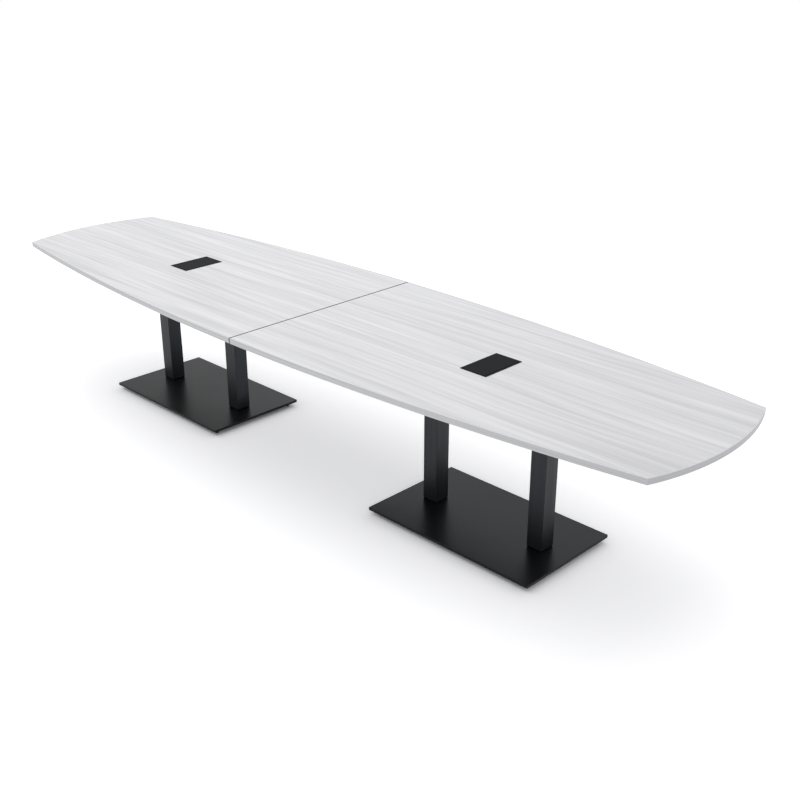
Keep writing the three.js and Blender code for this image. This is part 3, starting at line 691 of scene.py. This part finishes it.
socket_plastic = moulded_plastic("socket_plastic", SOCKET_COLOUR, SOCKET_PALE, SOCKET_ROUGHNESS)
gland_low, gland_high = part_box("right_cable_gland")
gland_middle = (gland_low + gland_high) / 2
hexagon_start = GLAND_NUT_HEIGHT + GLAND_SHANK_LENGTH
hexagon_end = hexagon_start + GLAND_HEXAGON_HEIGHT
cap_end = hexagon_end + GLAND_CAP_HEIGHT
gland_end = gland_high.x - gland_low.x
gland_profile = [
    (GLAND_BORE, 0),
    (GLAND_NUT, 0),
    (GLAND_NUT, GLAND_NUT_HEIGHT),
    (GLAND_SHANK, GLAND_NUT_HEIGHT),
    (GLAND_SHANK, hexagon_start),
    (GLAND_HEXAGON, hexagon_start),
    (GLAND_HEXAGON, hexagon_end),
    (GLAND_CAP, hexagon_end),
    (GLAND_CAP, cap_end),
    (DOME_START_RADIUS, cap_end + DOME_START),
    (DOME_END_RADIUS, gland_end - DOME_END),
    (MOUTH_RADIUS, gland_end),
    (GLAND_BORE, gland_end),
]
gland_start = Matrix.Translation((gland_low.x, gland_middle.y, gland_middle.z))
along_x = Matrix.Rotation(math.pi / 2, 4, "Y")
for side in SIDES:
    aim = HALF_TURN[side] @ gland_start @ along_x
    mesh = bmesh.new()
    add_turned(mesh, gland_profile, aim, shape=six_flats(GLAND_NUT, GLAND_HEXAGON), bored=True)
    gland = made_object(f"{side}_gland_moulding", mesh, socket_plastic, "table")
    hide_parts(f"{side}_cable_gland")

# Sockets: a folded steel tray screwed into each housing carries two power outlets, a charging port
# and a data port in black plastic, with brass contacts down inside their openings.
OUTLETS = ("outlet_1", "outlet_2")
PORTS = ("usb_port", "data_port")
BRASS_COLOUR = (0.52, 0.34, 0.11, 1)
BRASS_PALE = (0.72, 0.52, 0.22, 1)
TONGUE_COLOUR = (0.3, 0.3, 0.31, 1)
TONGUE_PALE = (0.4, 0.4, 0.41, 1)
TONGUE_ROUGHNESS = 0.4
SOCKET_ARRIS = 0.0004
TRAY_ARRIS = 0.0003
TRAY_SCREW_INSET = 0.007
TRAY_SCREW_TURN_X = 500  # radians per metre
TRAY_SCREW_TURN_Y = 300
BLADE_OFFSET = 0.00595
BLADE_SPREAD = 0.00635
LEAF_GAP = 0.00065
LEAF_SIZE = Vector((0.007, 0.0004, 0.009))
LEAF_DROP = 0.003
TONGUE_SPREAD = 0.007
TONGUE_SIZE = Vector((0.0074, 0.001, 0.0055))
TONGUE_DROP = 0.0012
DATA_PITCH = 0.00102
DATA_WIRES = 8
DATA_WIRE_SIZE = Vector((0.00045, 0.0052, 0.0005))
DATA_WIRE_DROP = 0.005


def add_block(mesh, top_middle, size, turn):
    """Adds a small box that hangs from the middle of its top face."""
    middle = Matrix.Translation(top_middle - Vector((0, 0, size.z / 2)))
    bmesh.ops.create_cube(mesh, size=1, matrix=turn @ middle @ Matrix.Diagonal((*size, 1)))


def socket_face(name):
    """The middle of a socket's upper face, in the right half."""
    low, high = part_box(f"right_{name}")
    return Vector(((low.x + high.x) / 2, (low.y + high.y) / 2, high.z))


brass = plated_metal("brass", BRASS_COLOUR, BRASS_PALE)
tongue_plastic = moulded_plastic("tongue_plastic", TONGUE_COLOUR, TONGUE_PALE, TONGUE_ROUGHNESS)
tray_low, tray_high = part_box("right_socket_panel")
for side in SIDES:
    turn = HALF_TURN[side]
    dress(f"{side}_socket_panel", black_coat, TRAY_ARRIS)
    for name in OUTLETS + PORTS:
        dress(f"{side}_{name}", socket_plastic, SOCKET_ARRIS)
    mesh = bmesh.new()
    for x in (tray_low.x + TRAY_SCREW_INSET, tray_high.x - TRAY_SCREW_INSET):
        for y in (tray_low.y + TRAY_SCREW_INSET, tray_high.y - TRAY_SCREW_INSET):
            screw_turn = x * TRAY_SCREW_TURN_X + y * TRAY_SCREW_TURN_Y
            add_screw_head(mesh, turn @ Vector((x, y, tray_high.z)), -DOWN, screw_turn)
    made_object(f"{side}_tray_screws", mesh, zinc, "table")
    mesh = bmesh.new()
    for name in OUTLETS:
        for spread in (-BLADE_SPREAD, BLADE_SPREAD):
            for gap in (-LEAF_GAP, LEAF_GAP):
                leaf = socket_face(name) + Vector((-BLADE_OFFSET, spread + gap, -LEAF_DROP))
                add_block(mesh, leaf, LEAF_SIZE, turn)
    for number in range(DATA_WIRES):
        across = (number - (DATA_WIRES - 1) / 2) * DATA_PITCH
        wire = socket_face("data_port") + Vector((across, 0, -DATA_WIRE_DROP))
        add_block(mesh, wire, DATA_WIRE_SIZE, turn)
    made_object(f"{side}_socket_contacts", mesh, brass, "table")
    mesh = bmesh.new()
    for spread in (-TONGUE_SPREAD, TONGUE_SPREAD):
        tongue = socket_face("usb_port") + Vector((0, spread, -TONGUE_DROP))
        add_block(mesh, tongue, TONGUE_SIZE, turn)
    made_object(f"{side}_port_tongues", mesh, tongue_plastic, "table")

# Bezels and lids: die-cast frames let into the top and flat lids flush with them, in a satin
# charcoal coat. Each lid turns on a steel pin along its outer edge, has ribs below and closes on a
# push latch.
LID_COLOUR = (0.0045, 0.0047, 0.0053, 1)
LID_PALE = (0.0075, 0.0078, 0.0086, 1)
LID_GRIT = 2200
LID_ROUGHNESS = 0.45
LID_GLOSS = 0.028
LID_THICKNESS = 0.004
LID_ARRIS = 0.0005
BEZEL_ARRIS = 0.0006
PIN_ARRIS = 0.0003
PLUNGER_ARRIS = 0.0008
RIB_WIDTH = 0.003
RIB_HEIGHT = 0.002
RIB_END_RADIUS = 0.98 * RIB_WIDTH / 2
RIB_CROWN_START = 0.8 * RIB_HEIGHT
RIB_CROWN_WIDTH = 0.8
RIB_CROWN_LENGTH = 0.996
RIB_INSET = 0.03
RIB_SPREAD = 0.022


def add_rib(mesh, middle, length, turn):
    """Adds a round-ended rib along Y, standing down from the lid's underside."""
    corner = Vector((RIB_WIDTH / 2, length / 2))
    outline = rounded_outline(-corner, corner, RIB_END_RADIUS)
    levels = ((0, 1, 1), (RIB_CROWN_START, 1, 1), (RIB_HEIGHT, RIB_CROWN_WIDTH, RIB_CROWN_LENGTH))
    rings = []
    for down, narrowed, shortened in levels:
        places = [middle + Vector((x * narrowed, y * shortened, -down)) for x, y in outline]
        rings.append([mesh.verts.new(turn @ place) for place in places])
    join_rings(mesh, rings)


charcoal = powder_coat("charcoal_coat", LID_COLOUR, LID_PALE, LID_GRIT, LID_ROUGHNESS, LID_GLOSS)
lid_low, lid_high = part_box("right_module_lid")
lid_middle = (lid_low + lid_high) / 2
rib_length = lid_high.y - lid_low.y - 2 * RIB_INSET
for side in SIDES:
    dress(f"{side}_module_bezel", charcoal, BEZEL_ARRIS, SEEN_ARRIS_STEPS)
    dress(f"{side}_module_lid", charcoal, LID_ARRIS, SEEN_ARRIS_STEPS)
    dress(f"{side}_lid_pin", zinc, PIN_ARRIS)
    dress(f"{side}_latch_plunger", socket_plastic, PLUNGER_ARRIS, SEEN_ARRIS_STEPS)
    mesh = bmesh.new()
    for across in (-RIB_SPREAD, 0, RIB_SPREAD):
        middle = Vector((lid_middle.x + across, 0, lid_high.z - LID_THICKNESS))
        add_rib(mesh, middle, rib_length, HALF_TURN[side])
    made_object(f"{side}_lid_ribs", mesh, charcoal, f"{side}_lid")

# Stage: a wide white floor that keeps a pale shadow, darkest close under the plates where painted
# shadow dims its glow, and that is clear from below. One broad soft light hangs overhead in an even
# white surround, and the camera is where the photographer stood.
FLOOR_HALF = 6
FLOOR_CORNERS = ((-1, -1), (1, -1), (1, 1), (-1, 1))
FLOOR_COLOUR = (0.75, 0.75, 0.75, 1)
FLOOR_GLOW = 0.409
FLOOR_TINT = (0.965, 0.967, 1, 1)
FLOOR_MIRRORED = 0.8
PAINTED_SHADOW_REACH = 0.12
PAINTED_SHADOW_SAMPLES = 8
WHITE = (1, 1, 1, 1)
SURROUND_LIGHT = 0.56
SURROUND_MIRRORED = 0.8
OVERHEAD_POWER = 250  # watts
OVERHEAD_SIZE = 10
OVERHEAD_PLACE = (-1.8, 0.8, 5)
CAMERA_PLACE = (3.7391, -3.2887, 2.4971)
CAMERA_TILT = 66.1543  # degrees up from straight down
CAMERA_TURN = 44.5606  # degrees about Z
CAMERA_LENS = 49.455  # mm
CAMERA_REACH = 400


def share_seen(anchor, mirrored):
    """1 for what the camera sees, straight or through glass, and less for what a gloss mirrors."""
    straight = anchor.node("ShaderNodeLightPath", {}, {}, "Is Camera Ray")
    through = anchor.node("ShaderNodeLightPath", {}, {}, "Is Transmission Ray")
    glossy = anchor.node("ShaderNodeLightPath", {}, {}, "Is Glossy Ray")
    return anchor.math("MAXIMUM", anchor.math("MAXIMUM", straight, through), glossy * mirrored)


def floor_finish(name):
    """Plain paint for the light it throws back; what is seen of it is a lit white plus a glow with
    painted shadow close under things.
    """
    material, shader, place = new_finish(
        name, base_color=FLOOR_COLOUR, roughness=1, specular_ior_level=0
    )
    lit = place.node("ShaderNodeBsdfDiffuse", {}, {"Color": WHITE})
    # Painted shadow: the glow dims where other surfaces are close, under the plates and feet.
    painted_contact_shadow = place.node(
        "ShaderNodeAmbientOcclusion",
        {"samples": PAINTED_SHADOW_SAMPLES},
        {"Color": FLOOR_TINT, "Distance": PAINTED_SHADOW_REACH},
    )
    glow = place.node("ShaderNodeEmission", {}, {"Color": painted_contact_shadow, "Strength": FLOOR_GLOW})
    white = place.node("ShaderNodeAddShader", {}, {0: lit, 1: glow})
    seen = share_seen(place, FLOOR_MIRRORED)
    above = place.node("ShaderNodeMixShader", {}, {0: seen, 1: Value(shader.outputs[0]), 2: white})
    clear = place.node("ShaderNodeBsdfTransparent", {}, {})
    from_below = place.node("ShaderNodeNewGeometry", {}, {}, "Backfacing")
    surface = place.node("ShaderNodeMixShader", {}, {0: from_below, 1: above, 2: clear})
    surface.into(material.node_tree.nodes["Material Output"], "Surface")
    return material


mesh = bmesh.new()
mesh.faces.new([mesh.verts.new((x * FLOOR_HALF, y * FLOOR_HALF, 0)) for x, y in FLOOR_CORNERS])
data = bpy.data.meshes.new("floor")
mesh.to_mesh(data)
mesh.free()
data.materials.append(floor_finish("floor_paint"))
floor = bpy.data.objects.new("floor", data)
bpy.context.scene.collection.objects.link(floor)

world = bpy.data.worlds.new("surround")
bpy.context.scene.world = world
world.use_nodes = True
background = world.node_tree.nodes["Background"]
background.inputs["Color"].default_value = WHITE
seen = share_seen(Value(background.outputs[0]), SURROUND_MIRRORED)
(seen * (1 - SURROUND_LIGHT) + SURROUND_LIGHT).into(background, "Strength")

lamp = bpy.data.lights.new("overhead", "AREA")
lamp.energy = OVERHEAD_POWER
lamp.size = OVERHEAD_SIZE
overhead = bpy.data.objects.new("overhead", lamp)
overhead.location = OVERHEAD_PLACE
bpy.context.scene.collection.objects.link(overhead)

lens = bpy.data.cameras.new("camera")
lens.lens = CAMERA_LENS
lens.clip_end = CAMERA_REACH
camera = bpy.data.objects.new("camera", lens)
camera.location = CAMERA_PLACE
camera.rotation_euler = (math.radians(CAMERA_TILT), 0, math.radians(CAMERA_TURN))
bpy.context.scene.collection.objects.link(camera)
bpy.context.scene.camera = camera
bpy.context.scene.view_settings.view_transform = "Standard"
